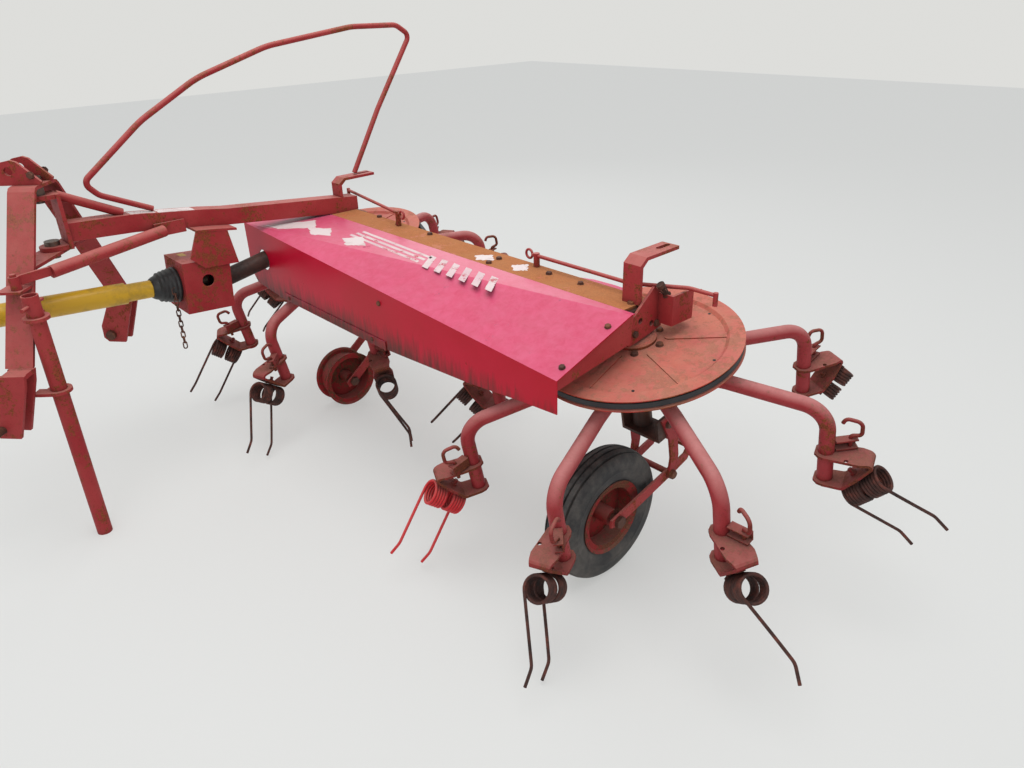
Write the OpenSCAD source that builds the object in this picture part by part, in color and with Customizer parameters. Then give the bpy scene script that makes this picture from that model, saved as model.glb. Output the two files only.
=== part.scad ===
/* [Rotors] */
// Distance between the two rotor axes
rotor_gap = 1540; // [1500:10:1700]
// Height of the disc planes on the rotor axes
disc_z = 717; // [690:760]
// Forward lean of both rotor axes, degrees
tilt = 11.2; // [8:0.1:14]
// Radius of the sheave discs
disc_r = 305; // [290:320]
// Tine arms on each rotor
arm_count = 8; // [6:10]
// Angle of the first arm from the machine's right, degrees
arm_start = 15.4; // [0:0.1:45]
// Diameter of the tube that an arm is bent from
arm_d = 42.4; // [38:0.1:48]
// Distance of an arm's hanging end from the rotor axis
arm_r = 537; // [520:550]
// Bend radius of the arms
arm_bend = 75; // [60:90]
// Turn of the tine holders about the arm ends, degrees
swivel = 3; // [0:30]
// Slope of the holder's web and of the coils on it, degrees
web_slope = 45; // [40:50]

/* [Spring tines] */
// Diameter of the spring wire
wire_d = 9.5; // [8:0.5:11]
// Mean radius of the coils
coil_r = 35; // [30:40]
// Turns in each coil
coil_turns = 5; // [3:5]
// Middle of the inner coil along the web
coil_in = 9; // [5:12]
// Middle of the outer coil along the web
coil_out = 61.2; // [58:66]
// Turn of a tine's leg away from the holder's plane, degrees
leg_a = 20; // [10:30]
// Length of a leg down to its kink
leg_straight = 185; // [160:190]
// Length of a leg below its kink
leg_end = 55; // [40:60]
// Turn of the leg at its kink, degrees
leg_kink = 28; // [15:35]

/* [Belt] */
// Mean radius of the belt on the discs
belt_r = 295.5; // [290:300]
// Width of the belt across the groove
belt_w = 13; // [10:14]
// Height of the belt
belt_h = 16; // [12:18]

/* [Wheels] */
// Outer radius of the tyre
tyre_r = 210; // [200:220]
// Width of the tyre
tyre_w = 100; // [90:110]
// Radius of the rim flanges
rim_r = 119; // [110:125]
// Sideways place of the wheels beyond the rotor axes
wheel_x = 30; // [20:40]
// Wheels ahead of the rotor axes
wheel_y = -160; // [-180:-140]
// Half the inner width of the wheel fork
fork_x = 62; // [58:70]

/* [Hood] */
// Thickness of the hood sheet
sheet = 3; // [2:0.5:5]
// Height of the hood's top and of the cross strip
top_z = 832; // [820:840]
// Left end of the hood
hood_l = -900; // [-920:-880]
// Right end of the hood
hood_r = 830; // [810:850]
// Front face of the hood
hood_y = -380; // [-400:-360]
// Slope of the hood's front facet, degrees
facet = 18.83; // [15:22]

/* [Drawbar and headstock] */
// Width of the drawbar
beam_w = 65; // [60:70]
// Turn of the headstock to one side, degrees
head_yaw = -41.7; // [-45:-38]
// Half the spacing of the lower link pins
link_x = 371; // [360:380]
// Diameter of the lower link pins
link_pin_d = 22; // [22:28]
// Bore of the top link plates
top_bore_d = 26; // [25:27]
// Diameter of the stand leg
leg_d = 48; // [45:52]
// Length of the stand leg
leg_len = 855; // [800:900]

/* [Drive shaft] */
// Rise of the drive shaft towards the tractor, degrees
pto_rise = 4; // [2:6]
// Bore of the shaft's front yoke
pto_bore_d = 35; // [35:36]

/* [Hoop] */
// Diameter of the hoop's tube
hoop_d = 20; // [18:22]

/* [Hidden] */
$fn = 48;
// place of the file's origin in the machine's own frame
origin_x = 0;
origin_y = -282.71;
// small gap where curved faces of two pieces meet
fit = 0.3;
axis_x = rotor_gap / 2;
arm_step = 360 / arm_count;
wheel_at = [axis_x + wheel_x, -axis_x + wheel_x];
// the far fork hangs lower, so that its bare rim stands on the ground
fork_pivot = [76, 271];
fork_swing = [0, 24.081];
axle_z = 210;
leg_at = [300, 151.5];
pitch = wire_d;
coil_half = pitch * coil_turns / 2;
bore_r = 30.1;
column_d = 60;
rust = [0.45, 0.25, 0.17];
orange = [0.72, 0.30, 0.20];
crimson = [0.75, 0.18, 0.25];
yellow = [0.90, 0.72, 0.15];
dark = [0.15, 0.15, 0.15];

// frames
module machine() translate([-origin_x, -origin_y, 0]) children();
module rotor(side) machine() translate([side * axis_x, 0, disc_z]) rotate([tilt, 0, 0]) children();
module head() machine() translate([-axis_x, -1082, 0]) rotate([0, 0, head_yaw]) translate([0, -85, 0]) children();
module drive() machine() translate([-axis_x, -722, 694]) rotate([-pto_rise, 0, 0]) children();

// helpers: a plate in a plane of constant x, a rod between two points, and a bent tube
module plate_x(x, t, pts) translate([x, 0, 0]) rotate([90, 0, 90]) linear_extrude(t, center = true) polygon(pts);
module plate_y(y, t, pts) translate([0, y, 0]) rotate([90, 0, 0]) linear_extrude(t, center = true) polygon(pts);
module rod(a, b, d, grow = 0) {
  v = b - a;
  len = norm(v);
  translate(a) rotate([0, acos(v[2] / len), atan2(v[1], v[0])]) translate([0, 0, -grow]) cylinder(d = d, h = len + 2 * grow);
}
// points in the plane of x and z; r is the bend radius, one for all or one for each point
function dir_of(a, b) = atan2(b[1] - a[1], b[0] - a[0]);
function turn_of(p, i) = (dir_of(p[i], p[i + 1]) - dir_of(p[i - 1], p[i]) + 540) % 360 - 180;
function rad_of(r, i) = is_list(r) ? r[i] : r;
module bent_tube(p, d, r) {
  n = len(p) - 1;
  for (i = [0:n - 1]) {
    a = dir_of(p[i], p[i + 1]);
    t0 = i > 0 ? rad_of(r, i) * tan(abs(turn_of(p, i)) / 2) : 0;
    t1 = i < n - 1 ? rad_of(r, i + 1) * tan(abs(turn_of(p, i + 1)) / 2) : 0;
    e0 = i > 0 ? 0.5 : 0;
    e1 = i < n - 1 ? 0.5 : 0;
    l = norm(p[i + 1] - p[i]) - t0 - t1 + e0 + e1;
    translate([p[i][0], 0, p[i][1]]) rotate([0, -a, 0]) translate([t0 - e0, 0, 0]) rotate([0, 90, 0]) cylinder(d = d, h = l);
    if (i < n - 1) {
      t = turn_of(p, i + 1);
      s = t > 0 ? 1 : -1;
      q = rad_of(r, i + 1);
      c = p[i + 1] - t1 * [cos(a), sin(a)] + s * q * [-sin(a), cos(a)];
      from = s > 0 ? a - 90 : a + 90 + t;
      translate([c[0], 0, c[1]]) rotate([90, 0, 0]) rotate([0, 0, from])
        rotate_extrude(angle = abs(t)) translate([q, 0]) circle(d = d - 0.2);
    }
  }
}

// main cross member: the flat strip and the channel under it
module cross_member() color(orange) machine() {
  translate([-810, -80, top_z - 8]) cube([1600, 117, 8]);
  for (y = [-74, 23]) translate([-655, y, top_z - 70]) cube([1310, 8, 62.5]);
  translate([-655, -66.5, top_z - 70]) cube([1310, 90, 6]);
}

// sheet hood over the front of both discs
module facet_cut(drop) translate([-800, -366, top_z - drop]) rotate([0, 0, 9.45]) rotate([facet, 0, 0])
  translate([-1200, -900, 0]) cube([3600, 900, 300]);
module hood() color(crimson) machine() difference() {
  translate([hood_l, hood_y, 560]) cube([hood_r - hood_l, -80.3 - hood_y, top_z - 560]);
  facet_cut(0);
  difference() {
    translate([hood_l + sheet, hood_y + sheet, 500]) cube([hood_r - hood_l + 50, 400, top_z - sheet - 500]);
    facet_cut(sheet / cos(facet));
  }
  // lower edge of the front face, and the edge of the left end
  translate([0, hood_y - 1, 0]) rotate([90, 0, 180]) mirror([1, 0, 0]) translate([0, 0, -1]) linear_extrude(sheet + 3)
    polygon([[-950, 500], [-950, 633], [-900, 633], [-862, 593], [-660, 575], [57, 579], [460, 604], [690, 628], [900, 645], [900, 500]]);
  translate([hood_l - 1, hood_y + sheet, 500]) cube([sheet + 2, 400, 250]);
  translate([-axis_x, hood_y - 5, 706]) rotate([-90, 0, 0]) cylinder(r = 40, h = 15);
}
module hood_lower_panel() color(crimson) machine()
  translate([-630, hood_y - sheet - fit, 576]) cube([680, sheet, 30]);
module hood_end_rib() color(orange) machine()
  plate_x(hood_r - 8, 8, [[-80.5, top_z - 8.3], [-88, top_z - 3.6], [-96, top_z - 3.6], [-376, 734], [-376, 704], [-90, 745]]);
module rear_cover() color(crimson) machine() difference() {
  translate([520, 0, top_z - 3]) linear_extrude(3) polygon([[0, 37.3], [40, 52], [120, 57], [200, 52], [240, 37.3]]);
}

// drawbar and its swivel yoke
module drawbar() color(orange) machine()
  plate_x(-axis_x, beam_w, [[46, top_z + fit], [46, 885], [-500, 935], [-587, 948], [-832, 976], [-1030, 985],
    [-1030, 926], [-832, 916], [-587, 889], [-500, 876], [-60, top_z + fit]]);
module yoke() color(orange) machine() {
  translate([-axis_x - 45, -1042, 905.3]) cube([90, 11.7, 176.7]);
  for (z = [905.3, 1068]) difference() {
    union() {
      translate([-axis_x - 40, -1082, z]) cube([80, 42, 14]);
      translate([-axis_x, -1082, z]) cylinder(r = 40, h = 14);
    }
    translate([-axis_x, -1082, z - 1]) cylinder(r = 15 + fit, h = 16);
  }
  // brace tube down to the drawbar's top
  difference() {
    rod([-axis_x, -1034, 1074], [-axis_x, -850, 981], 30);
    plate_x(-axis_x, 80, [[-1029.7, 985 + fit], [-832, 976 + fit], [-587, 948 + fit], [-587, 900], [-1029.7, 900]]);
  }
}

// headstock
module headstock() color(orange) head() {
  difference() {
    translate([0, 80, 0]) rotate([90, 0, 0]) linear_extrude(84, center = true)
      polygon([[-345, 640], [-73, 1107], [-63, 1117], [-50, 1120], [50, 1120], [63, 1117], [73, 1107], [345, 640],
        [333.4, 640], [63.5, 1103], [57, 1108.5], [48, 1110], [-48, 1110], [-57, 1108.5], [-63.5, 1103], [-333.4, 640]]);
    translate([0, 85, 1100]) cylinder(r = 15 + fit, h = 30);
  }
  difference() {
    translate([-180, 42, 895]) cube([360, 80, 10]);
    translate([0, 85, 890]) cylinder(r = 15 + fit, h = 30);
  }
}
module link_clevises() color(orange) head() for (s = [-1, 1]) {
  for (x = [344, 398]) difference() {
    plate_x(s * x, 12, [[127, 639.7], [48, 639.7], [-22, 500], [-24, 452], [-8, 434], [55, 430], [118, 600]]);
    translate([s * x, 9, 463]) rotate([0, 90, 0]) cylinder(d = link_pin_d + 2 + 2 * fit, h = 40, center = true);
  }
  translate([s * 371, 88, 632]) cube([45, 70, 14], center = true);
}
module top_link_plates() color(orange) head() for (s = [-1, 1]) difference() {
  plate_x(s * 34, 10, [[127, 1120.3], [131, 1130], [70, 1190], [52, 1196], [20, 1190], [-45, 1150], [-48, 1128], [-30, 1120.3]]);
  translate([s * 34, 39, 1163]) rotate([0, 90, 0]) cylinder(d = top_bore_d, h = 30, center = true);
}
module hitch_pins() color(rust) head() for (s = [-1, 1]) {
  translate([s * 330, 9, 463]) rotate([0, s * 90, 0]) cylinder(d = link_pin_d + 2, h = 74.5);
  translate([s * 400, 9, 463]) rotate([0, s * 90, 0]) cylinder(d = link_pin_d, h = 50);
  translate([s * 323.7, 9, 463]) rotate([0, s * 90, 0]) cylinder(d = 36, h = 14);
}
module swivel_pins() color(rust) machine() translate([-axis_x, -1082, 0]) {
  translate([0, 0, 1056]) cylinder(r = 15, h = 76);
  translate([0, 0, 1120.3]) cylinder(r = 23, h = 18);
  translate([0, 0, 1082.3]) cylinder(r = 22, h = 27.4);
  translate([0, 0, 878]) cylinder(r = 15, h = 52);
  translate([0, 0, 919.6]) cylinder(r = 23, h = 14);
}
// stay that holds the headstock at its angle: a tube with an eye and a flattened end
module side_stay() color(orange) {
  head() translate([262, 97, 0]) {
    difference() {
      union() {
        translate([0, 0, 860.3]) cylinder(r = 15, h = 40);
        rotate([0, 0, 148.1]) translate([0, -5, 872]) cube([120, 10, 28]);
      }
      translate([0, 0, 850]) cylinder(r = 9 + fit, h = 60);
    }
  }
  machine() {
    rod([-598.4, -1140, 882], [-716, -745, 907], 40);
    translate([-737.2, -770, 887]) cube([10, 105, 44]);
  }
}
module stay_bracket() color(orange) head() {
  translate([221.9, 45, 852]) cube([64, 74, 8]);
  translate([262, 97, 858]) cylinder(r = 9, h = 50);
}
module stand_guides() color(orange) head() {
  for (z = [538, 779]) difference() {
    union() {
      translate([leg_at[0], leg_at[1], z]) cylinder(r = 37.5, h = 10);
      if (z == 779) translate([242, 122.3, z]) cube([58, 24, 10]);
      else translate([300, 90, z]) cube([37.7, 56, 10]);
    }
    translate([leg_at[0], leg_at[1], z - 1]) cylinder(d = leg_d + 2 * fit, h = 12);
  }
}
module stand_leg() color(rust) head() translate([leg_at[0], leg_at[1], 0]) {
  difference() {
    cylinder(d = leg_d, h = leg_len);
    translate([0, 0, leg_len - 120]) cylinder(d = leg_d - 8, h = 130);
  }
  translate([-55, 0, leg_len - 30]) rotate([0, 90, 0]) cylinder(d = 12, h = 110);
}

// drive input
// bent plate from the drawbar's underside down to the guard box
module input_support() color(crimson) machine() {
  plate_x(-745, 140, [[-650, 895.6], [-587, 888.6], [-505, 876.4], [-505, 868.4], [-587, 880.6], [-650, 887.6]]);
  plate_x(-680.7, 8, [[-650, 894], [-540, 879], [-519, 750], [-646, 757], [-690, 800]]);
}
module input_guard() color(dark) drive() {
  difference() {
    translate([-85, -6, -93]) cube([170, 172, 186]);
    translate([-81, -2, -89]) cube([162, 164, 178]);
    translate([0, -20, 0]) rotate([-90, 0, 0]) cylinder(r = 40, h = 30);
    translate([0, 150, 0]) rotate([-90, 0, 0]) cylinder(r = 50, h = 30);
    translate([60, 80, 20]) rotate([0, 90, 0]) cylinder(r = 22, h = 40);
  }
}
module gearbox() color(rust) rotor(-1) {
  difference() {
    union() {
      translate([-75, -85, 20]) cube([150, 165, 100]);
      translate([0, -590, 63]) rotate([-90, 0, 0]) cylinder(r = 32, h = 520);
    }
    rotate([-tilt, 0, 0]) translate([-400, -400, top_z - 8.3 - disc_z]) cube([800, 800, 200]);
  }
}
module bearing_housing() color(rust) rotor(1) difference() {
  translate([0, 0, 18.3]) cylinder(r = 62, h = 130);
  rotate([-tilt, 0, 0]) translate([-400, -400, top_z - 8.3 - disc_z]) cube([800, 800, 200]);
  translate([31.7, -100, 0]) cube([100, 200, 200]);
}
// fixed columns that the rotors turn on, with the bracket that carries the wheel straps
module columns() color(rust) for (s = [-1, 1]) rotor(s) {
  translate([0, 0, -300.5]) cylinder(d = column_d, h = s > 0 ? 318.5 : 320.2);
  translate([wheel_x, -10, -305]) cube([2 * fork_x + 16, 80, 10], center = true);
  for (m = [-1, 1]) translate([wheel_x + m * (fork_x + 4), -10, -272]) cube([8, 80, 76], center = true);
}

// wheel carriers
module wheel_straps() color(orange) machine() for (w = wheel_at) translate([w, 0, 0]) for (m = [-1, 1])
  plate_x(m * (fork_x + 12.4), 8, [[60, 262], [92, 262], [104, 330], [92, 400], [50, 488], [10, 480], [54, 400], [68, 330]]);
module at_fork(i) machine() translate([wheel_at[i], fork_pivot[0], fork_pivot[1]]) rotate([fork_swing[i], 0, 0])
  translate([0, -fork_pivot[0], -fork_pivot[1]]) children();
module at_wheel(i) at_fork(i) translate([0, wheel_y, axle_z]) rotate([0, 90, 0]) children();
module wheel_forks() color(orange) for (i = [0, 1]) at_fork(i) {
  for (m = [-1, 1]) difference() {
    plate_x(m * (fork_x + 4), 8, [[-192, 200], [-160, 194], [75, 254], [165, 282], [200, 330], [176, 344], [150, 308], [70, 288], [-168, 230], [-190, 224]]);
    translate([m * (fork_x + 4), wheel_y, axle_z]) rotate([0, 90, 0]) cylinder(r = 12 + fit, h = 20, center = true);
  }
  translate([0, 180, 326]) cube([2 * fork_x + 2, 30, 10], center = true);
  translate([0, fork_pivot[0], fork_pivot[1]]) rotate([0, 90, 0]) cylinder(r = 10, h = 2 * fork_x + 2, center = true);
}
module wheel_axles() color(rust) for (i = [0, 1]) at_wheel(i) {
  cylinder(r = 12, h = 2 * fork_x + 40, center = true);
  for (m = [-1, 1]) translate([0, 0, m * (fork_x + 14.3)]) cylinder(r = 20, h = 12, center = true, $fn = 6);
}

// fittings on the cross member
module slot_brackets() color(orange) machine() for (s = [-1, 1]) translate([s * axis_x, 0, 0]) difference() {
  plate_x(0, 60, [[-28, s > 0 ? top_z + fit : 892.2], [-16, s > 0 ? top_z + fit : 891.1], [-16, 937], [4, 954], [140, 956], [140, 966], [-2, 964], [-28, 944]]);
  for (y = [85, 125]) translate([0, y, 940]) cylinder(r = 8, h = 40);
  translate([-8, 85, 940]) cube([16, 40, 40]);
}
module side_plate() color(orange) machine() difference() {
  plate_x(806, 8, [[26, 876], [-89, 785], [-78, 726], [-40, 730], [45, 747], [64, 751], [54, 857]]);
  for (q = [[-30, 790], [20, 770]]) translate([806, q[0], q[1]]) rotate([0, 90, 0]) cylinder(r = 9, h = 20, center = true);
}
module clamp_block() color(crimson) machine() {
  translate([810.3, 45, 766]) cube([50, 10, 88]);
  translate([810.3, 45, 766]) cube([50, 95, 8]);
  translate([852.3, 45, 766]) cube([8, 95, 88]);
}
// rods that lock the hood's ends, each with a ring and a pin on the strip
module lock_rods() color(rust) machine() {
  translate([0, 0, 868]) rotate([-90, 0, 0]) bent_tube([[330, 20], [730, 20], [870, 100], [960, 100]], 12, 30);
  translate([958, 100, 838]) cylinder(d = 14, h = 38);
  translate([347, 20, top_z + fit]) cylinder(d = 20, h = 44);
  rod([-372, 3, 880], [-880, 92, 880], 12);
  translate([-878, 91.6, 850]) cylinder(d = 14, h = 38);
  translate([-392, 6.5, top_z + fit]) cylinder(d = 20, h = 56);
  for (q = [[314, 20, 868], [-356, 0, 880]]) translate(q) rotate([90, 0, 0]) rotate_extrude() translate([14, 0]) circle(d = 8);
}
module hoop() color(rust) machine() translate([-axis_x, 0, 0]) rotate([0, 0, 90])
  bent_tube([[65.5, 971.5], [207, 1204], [392, 1470], [330, 1510], [124, 1512], [-235, 1464], [-509, 1379], [-724, 1263], [-945, 1095],
    [-906, 1050], [-748, 976.2]], hoop_d, [0, 300, 24, 60, 300, 400, 400, 400, 24, 60, 0]);

// crossed belt, one fixed loop
module belt() color(dark) machine() translate([0, 0, disc_z]) rotate([tilt, 0, 0]) {
  phi = acos(2 * belt_r / rotor_gap);
  run = sqrt(pow(rotor_gap / 2, 2) - pow(belt_r, 2));
  for (s = [-1, 1]) {
    translate([s * axis_x, 0, -17]) rotate([0, 0, s > 0 ? phi - 180 : phi])
      rotate_extrude(angle = 360 - 2 * phi) translate([belt_r - belt_w / 2, -belt_h / 2]) square([belt_w, belt_h]);
    for (m = [-1, 1]) rotate([0, 0, m * (90 - phi)]) rotate([0, m * s * atan(10 / run), 0])
      translate([s > 0 ? -0.5 : -run - 0.5, -belt_w / 2 + 0.3, -17 - belt_h / 2 + 10 * m]) cube([run + 1, belt_w - 0.6, belt_h]);
  }
}

// rotors
module disc() {
  rotate_extrude($fn = 96) polygon([[bore_r, 12], [56, 12], [62, 6], [62, -2], [252, -8], [262, 0], [disc_r, 0], [disc_r, -3],
    [288, -7], [288, -27], [disc_r, -31], [disc_r, -34], [280, -34], [280, -6], [265, -6], [254, -13], [104, -8.5], [100, -12], [bore_r, -12]]);
  for (k = [0:5]) rotate([0, 0, k * 60 - 22]) rotate([0, 2.2, 0]) {
    translate([95, -13, -5]) cube([155, 26, 9]);
    for (r = [95, 250]) translate([r, 0, -5]) cylinder(r = 13, h = 9);
  }
}
module arms() {
  difference() {
    translate([0, 0, -125]) cylinder(r = 100, h = 113);
    translate([0, 0, -130]) cylinder(r = bore_r, h = 130);
  }
  for (k = [0:arm_count - 1]) rotate([0, 0, arm_start + k * arm_step])
    bent_tube([[70, -90], [265, -96], [arm_r, -131], [arm_r, -376]], arm_d, arm_bend);
}
module at_arm(k) rotate([0, 0, arm_start + k * arm_step]) translate([arm_r, 0, 0]) rotate([0, 0, swivel]) children();
// holder: one strap folded into an upper ear, a sloping web and a lower ear
strap_side = [[-34, -266], [106, -266], [113, -268], [118.5, -272.5], [121, -279], [121, -284], [57.5, -360.5], [53, -365], [47, -367],
  [-34, -367], [-34, -359], [45, -359], [50, -357], [113, -281.5], [113, -279.5], [110.5, -275.5], [105, -274], [-34, -274]];
strap_plan = [[-28, -16], [-16, -29], [0, -34], [88, -38], [124, -28], [124, 28], [88, 38], [0, 34], [-16, 29], [-28, 16]];
pin_r = 62;
pin_a = 28;
pin_d = 11;
// frame of the coils, x along their axis and z towards the web
module on_web() translate([85.8, 0, -388.8]) rotate([0, -web_slope, 0]) children();
module holder() {
  difference() {
    intersection() {
      rotate([90, 0, 0]) linear_extrude(90, center = true) polygon(strap_side);
      translate([0, 0, -380]) linear_extrude(130) polygon(strap_plan);
    }
    translate([0, 0, -380]) cylinder(d = arm_d + 2 * fit, h = 130);
    for (a = [-pin_a, pin_a]) rotate([0, 0, a]) translate([pin_r, 0, -280]) cylinder(d = pin_d + 2 * fit, h = 20);
  }
  on_web() {
    translate([20, -12, coil_r + wire_d / 2 + fit]) cube([30, 24, 6]);
    translate([35, 0, 48]) cylinder(r = 6, h = 22);
    translate([35, 0, 48]) cylinder(r = 11, h = 10, $fn = 6);
  }
}
// channel on the arm with the hooked pin that holds the holder at its angle
module index_pin() rotate([0, 0, pin_a]) {
  difference() {
    translate([arm_d / 2 + 0.2, -13, -262]) cube([58, 26, 30]);
    translate([arm_d / 2 - 1, -14, -258]) cube([62, 23, 22]);
    translate([pin_r, 0, -270]) cylinder(d = pin_d + 2 * fit, h = 50);
  }
  translate([pin_r, 0, 0]) rotate([0, 0, -pin_a])
    bent_tube([[0, -285], [0, -224], [27, -218], [27, -176], [-14, -170], [-22, -186]], pin_d, [0, 8, 12, 18, 14, 0]);
}
module holders() for (k = [0:arm_count - 1]) at_arm(k) {
  holder();
  index_pin();
}
// outline of the coil's turns, eight flats to a turn, closed inside by a thin sleeve
function turn_edge(i) = [for (a = [-80:32:80]) [coil_r + wire_d / 2 * cos(a), (i - (coil_turns - 1) / 2) * pitch + wire_d / 2 * sin(a)]];
module coil(x) translate([x, 0, 0]) rotate([0, 90, 0]) rotate_extrude()
  polygon(concat([[coil_r - 4, -coil_half]], [for (i = [0:coil_turns - 1]) each turn_edge(i)], [[coil_r - 4, coil_half]]));
// last part turn, straight leg and kinked tip, square to the coil's axis
module tine_leg(x) translate([x, 0, 0]) rotate([0, 90, 90]) {
  start = coil_r * [sin(leg_a), -cos(leg_a)];
  bend = start + leg_straight * [cos(leg_a), sin(leg_a)];
  rotate([90, 0, 0]) rotate([0, 0, leg_a - 250]) rotate_extrude(angle = 160) translate([coil_r, 0]) circle(d = wire_d);
  bent_tube([start - 0.5 * [cos(leg_a), sin(leg_a)], bend, bend + leg_end * [cos(leg_a - leg_kink), sin(leg_a - leg_kink)]], wire_d - 0.2, 40);
}
module tine(inner, outer) on_web() {
  coil(coil_in);
  coil(coil_out);
  if (inner) tine_leg(coil_in - coil_half - wire_d / 2 - 0.15);
  if (outer) tine_leg(coil_out + coil_half + wire_d / 2 + 0.15);
}
module tines() for (k = [0:arm_count - 1]) at_arm(k) tine(true, true);
// the near rotor has lost legs on two of its tines and carries one new tine
bare_arm = 1;
half_arm = 7;
new_arm = 5;
module tines_worn() for (k = [0:arm_count - 1]) if (k != new_arm) at_arm(k) tine(k != bare_arm && k != half_arm, k != bare_arm);

module disc_near() color(orange) rotor(1) disc();
module arms_near() color(rust) rotor(1) arms();
module holders_near() color(rust) rotor(1) holders();
module tines_near() color(rust) rotor(1) tines_worn();
module tine_new() color(crimson) rotor(1) at_arm(new_arm) tine(true, true);
module disc_far() color(orange) rotor(-1) disc();
module arms_far() color(rust) rotor(-1) arms();
module holders_far() color(rust) rotor(-1) holders();
module tines_far() color(rust) rotor(-1) tines();

// wheels: a rim on both sides, a tyre on the near one only
module rim() rotate_extrude($fn = 72) polygon([[12.1, -45], [26, -45], [26, -20], [94, -20], [94, -38], [109, -40], [rim_r, -45], [rim_r, -42],
  [112, -36], [98, -34], [98, 34], [112, 36], [rim_r, 42], [rim_r, 45], [109, 40], [94, 38], [94, -14], [26, -14], [26, 45], [12.1, 45]]);
module rim_near() color(orange) at_wheel(0) rim();
module rim_far() color(orange) at_wheel(1) rim();
module tyre_near() color(dark) at_wheel(0)
  rotate_extrude($fn = 96) polygon([[98.3, -33.5], [112, -35.5], [125, -44], [150, -50], [175, -50], [192, -46], [203, -36], [209, -18], [tyre_r, 0],
    [209, 18], [203, 36], [192, 46], [175, 50], [150, 50], [125, 44], [112, 35.5], [98.3, 33.5]]);

// drive shaft and its guard
module pto_guard() color(yellow) drive() rotate([90, 0, 0]) {
  difference() {
    union() {
      translate([0, 0, 6.3]) cylinder(r1 = 60, r2 = 42, h = 62);
      translate([0, 0, 60]) cylinder(r = 31, h = 130);
      translate([0, 0, 184]) cylinder(r = 37, h = 440);
      translate([0, 0, 600]) cylinder(r1 = 40, r2 = 62, h = 50);
    }
    cylinder(r = 24, h = 700);
  }
  for (z = [6.3, 600]) translate([0, 0, z]) difference() {
    cylinder(r = 26, h = 14);
    translate([0, 0, -1]) cylinder(r = 14.1, h = 16);
  }
}
module pto_shaft() color(rust) drive() rotate([90, 0, 0]) {
  difference() {
    union() {
      translate([0, 0, -60]) cylinder(r = 14, h = 740);
      translate([0, 0, 660]) cylinder(r = 28, h = 80);
    }
    translate([0, 0, 680]) cylinder(d = pto_bore_d, h = 70);
  }
  translate([0, 0, -100]) cylinder(r = 28, h = 50);
}
// chain that keeps the guard tube from turning, cut short and hanging down
chain_wire = 5;
chain_pitch = 21;
function oval(r, h) = concat([for (a = [0:30:180]) [r * cos(a), h + r * sin(a)]], [for (a = [180:30:360]) [r * cos(a), r * sin(a) - h]]);
module chain_link() rotate([90, 0, 90]) translate([0, 0, -chain_wire / 2]) linear_extrude(chain_wire) difference() {
  polygon(oval(4 + chain_wire, (chain_pitch - 8) / 2));
  polygon(oval(4, (chain_pitch - 8) / 2));
}
module guard_chain() color(rust) machine() for (i = [0:10])
  translate([-713.5, -759 - 0.5 * i, 690 - i * (chain_pitch - 0.2)]) rotate([0, 0, 90 * (i % 2)]) chain_link();

cross_member();
hood();
hood_lower_panel();
hood_end_rib();
rear_cover();
drawbar();
yoke();
headstock();
link_clevises();
top_link_plates();
hitch_pins();
swivel_pins();
side_stay();
stay_bracket();
stand_guides();
stand_leg();
input_support();
input_guard();
gearbox();
bearing_housing();
columns();
wheel_straps();
wheel_forks();
wheel_axles();
slot_brackets();
side_plate();
clamp_block();
lock_rods();
hoop();
belt();
disc_near();
arms_near();
holders_near();
tines_near();
tine_new();
disc_far();
arms_far();
holders_far();
tines_far();
rim_near();
tyre_near();
rim_far();
pto_guard();
pto_shaft();
guard_chain();
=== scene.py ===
# %% [markdown]
# # A two-rotor hay tedder, dressed in Blender
# The machine comes in as a fixed frame of solids: hood, drawbar, rotors, wheels.
# Blender's work is what the solids lack: paint that sun and rain have worn, rust,
# grease, bolts and the small things that make steel look like steel.

# %% load the frame
import bpy
import bmesh
import math
import random
from mathutils import Vector, Matrix


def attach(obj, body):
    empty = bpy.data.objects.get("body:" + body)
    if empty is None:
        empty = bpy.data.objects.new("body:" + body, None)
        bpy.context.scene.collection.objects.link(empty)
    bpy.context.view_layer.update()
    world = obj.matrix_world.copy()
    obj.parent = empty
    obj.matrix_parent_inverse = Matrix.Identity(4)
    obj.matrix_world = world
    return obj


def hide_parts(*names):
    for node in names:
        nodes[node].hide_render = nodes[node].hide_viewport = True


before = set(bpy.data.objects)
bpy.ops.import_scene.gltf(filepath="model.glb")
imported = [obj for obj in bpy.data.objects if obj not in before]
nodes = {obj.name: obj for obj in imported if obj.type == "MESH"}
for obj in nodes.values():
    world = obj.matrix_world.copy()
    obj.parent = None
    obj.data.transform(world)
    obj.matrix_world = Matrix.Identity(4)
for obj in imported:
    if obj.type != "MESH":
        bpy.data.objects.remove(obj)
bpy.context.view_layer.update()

# %% [markdown]
# The photo was taken from the front corner of the machine with a wide phone lens.
# The camera repeats that: its place is in metres in the machine's own frame, and its
# three turns are the heading, the tilt down and a small roll, in degrees. A camera looks
# along its own -z, so the three directions are written as the columns of a matrix.

# %% camera
DEG = math.pi / 180
SHIFT_Y = 0.28271  # the rotor axes lie this far behind the middle of the machine's footprint
LENS, SENSOR = 27.27, 36.0
EYE = (2.056, -1.623 + SHIFT_Y, 1.609)
HEADING, TILT_DOWN, ROLL = -48.294, 26.711, 1.682

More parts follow.
